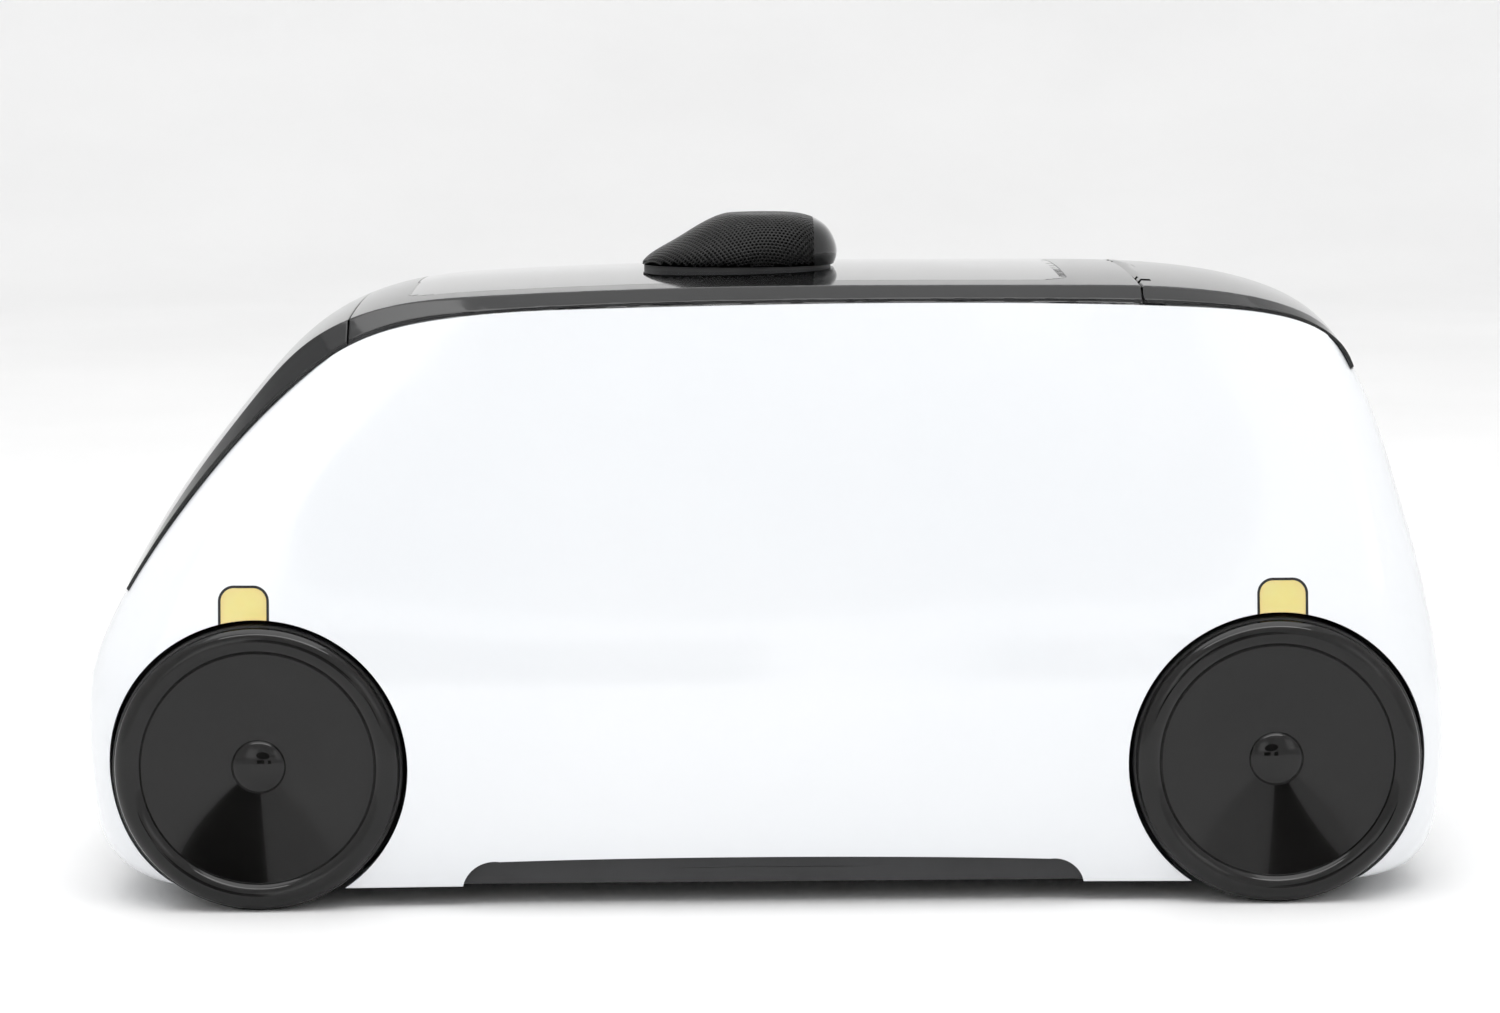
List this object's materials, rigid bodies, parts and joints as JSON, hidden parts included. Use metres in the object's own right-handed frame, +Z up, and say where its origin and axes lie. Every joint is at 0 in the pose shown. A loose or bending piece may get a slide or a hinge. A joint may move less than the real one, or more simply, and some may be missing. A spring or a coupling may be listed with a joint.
{
  "type": "four-wheeled delivery robot car",
  "caption": "Small autonomous delivery robot car with a white clam-shell body, black glass roof strip, perforated roof pod, skid-steer geared wheels and a lifting rear hatch.",
  "frame": {"origin": "on the ground under the middle of the car's length and width", "axes": "+X forward to the windshield end, +Y to the car's left, +Z up"},
  "size_m": [0.4236, 0.186, 0.207],
  "materials": {
    "white_gloss": "high gloss white moulding",
    "black_gloss": "polished black glazing",
    "wheel_black": "gloss black",
    "tyre": "matte rubber",
    "steel": "turned",
    "acetal": "natural acetal",
    "brass": "machined",
    "motor_can": "plated can",
    "aluminium": "bead blasted",
    "dark_plastic": "fine moulded texture",
    "mesh_black": "perforated, satin black",
    "amber_lens": "translucent amber",
    "seal_rubber": "matte",
    "board_white": "white solder mask",
    "board_green": "green solder mask",
    "battery_wrap": "blue heat-shrink wrap",
    "webbing": "woven nylon",
    "rocker_red": "gloss red"
  },
  "bodies": {
    "chassis": {"axle_bearings": "steel", "battery_pack": "battery_wrap", "battery_strap": "webbing", "board_screws": "steel", "board_standoffs": "brass", "bracket_screws": "steel", "charging_contacts": "brass", "chassis_screws": "steel", "chassis_tray": "dark_plastic", "control_board": "board_green", "drive_motor_left_front": "motor_can", "drive_motor_left_rear": "motor_can", "drive_motor_right_front": "motor_can", "drive_motor_right_rear": "motor_can", "front_marker_lenses": "amber_lens", "hatch_hinge_brackets": "aluminium", "hatch_hinge_pins": "steel", "left_body_shell": "white_gloss", "marker_led_boards": "board_white", "marker_seals": "seal_rubber", "motor_bracket_left_front": "aluminium", "motor_bracket_left_rear": "aluminium", "motor_bracket_right_front": "aluminium", "motor_bracket_right_rear": "aluminium", "motor_driver_board": "board_green", "pod_cover": "mesh_black", "pod_plinth": "dark_plastic", "pod_speaker": "dark_plastic", "rear_marker_lenses": "amber_lens", "right_body_shell": "white_gloss", "roof_panel": "black_gloss", "roof_window": "black_gloss", "switch_housing": "dark_plastic", "windshield": "black_gloss"},
    "wheel_left_front": {"wheel_disc_left_front": "wheel_black", "wheel_tyre_left_front": "tyre", "wheel_axle_left_front": "steel", "axle_gear_left_front": "acetal"},
    "pinion_left_front": {"motor_pinion_left_front": "brass"},
    "wheel_left_rear": {"wheel_disc_left_rear": "wheel_black", "wheel_tyre_left_rear": "tyre", "wheel_axle_left_rear": "steel", "axle_gear_left_rear": "acetal"},
    "pinion_left_rear": {"motor_pinion_left_rear": "brass"},
    "wheel_right_front": {"wheel_disc_right_front": "wheel_black", "wheel_tyre_right_front": "tyre", "wheel_axle_right_front": "steel", "axle_gear_right_front": "acetal"},
    "pinion_right_front": {"motor_pinion_right_front": "brass"},
    "wheel_right_rear": {"wheel_disc_right_rear": "wheel_black", "wheel_tyre_right_rear": "tyre", "wheel_axle_right_rear": "steel", "axle_gear_right_rear": "acetal"},
    "pinion_right_rear": {"motor_pinion_right_rear": "brass"},
    "hatch": {"rear_hatch": "black_gloss"},
    "rocker": {"switch_rocker": "rocker_red"}
  },
  "joints": [
    {"name": "wheel_spin_left_front", "type": "hinge", "parent": "chassis", "child": "wheel_left_front", "pos_m": [0.155, 0.08, 0.044], "axis": [0, 1, 0], "continuous": true},
    {"name": "pinion_spin_left_front", "type": "hinge", "parent": "chassis", "child": "pinion_left_front", "pos_m": [0.1294, 0.049, 0.044], "axis": [0, 1, 0], "continuous": true},
    {"name": "wheel_spin_left_rear", "type": "hinge", "parent": "chassis", "child": "wheel_left_rear", "pos_m": [-0.155, 0.08, 0.044], "axis": [0, 1, 0], "continuous": true},
    {"name": "pinion_spin_left_rear", "type": "hinge", "parent": "chassis", "child": "pinion_left_rear", "pos_m": [-0.1294, 0.049, 0.044], "axis": [0, 1, 0], "continuous": true},
    {"name": "wheel_spin_right_front", "type": "hinge", "parent": "chassis", "child": "wheel_right_front", "pos_m": [0.155, -0.08, 0.044], "axis": [0, 1, 0], "continuous": true},
    {"name": "pinion_spin_right_front", "type": "hinge", "parent": "chassis", "child": "pinion_right_front", "pos_m": [0.1294, -0.049, 0.044], "axis": [0, 1, 0], "continuous": true},
    {"name": "wheel_spin_right_rear", "type": "hinge", "parent": "chassis", "child": "wheel_right_rear", "pos_m": [-0.155, -0.08, 0.044], "axis": [0, 1, 0], "continuous": true},
    {"name": "pinion_spin_right_rear", "type": "hinge", "parent": "chassis", "child": "pinion_right_rear", "pos_m": [-0.1294, -0.049, 0.044], "axis": [0, 1, 0], "continuous": true},
    {"name": "hatch_lift", "type": "hinge", "parent": "chassis", "child": "hatch", "pos_m": [-0.1196, 0, 0.185], "axis": [0, 1, 0], "range_deg": [0, 70]},
    {"name": "power_rocker", "type": "hinge", "parent": "chassis", "child": "rocker", "pos_m": [-0.085, 0, 0.013], "axis": [0, 1, 0], "range_deg": [-16, 0]}
  ],
  "couplings": [
    {"joint": "pinion_spin_left_front", "follows": "wheel_spin_left_front", "ratio": -3},
    {"joint": "pinion_spin_left_rear", "follows": "wheel_spin_left_rear", "ratio": -3},
    {"joint": "pinion_spin_right_front", "follows": "wheel_spin_right_front", "ratio": -3},
    {"joint": "pinion_spin_right_rear", "follows": "wheel_spin_right_rear", "ratio": -3}
  ]
}
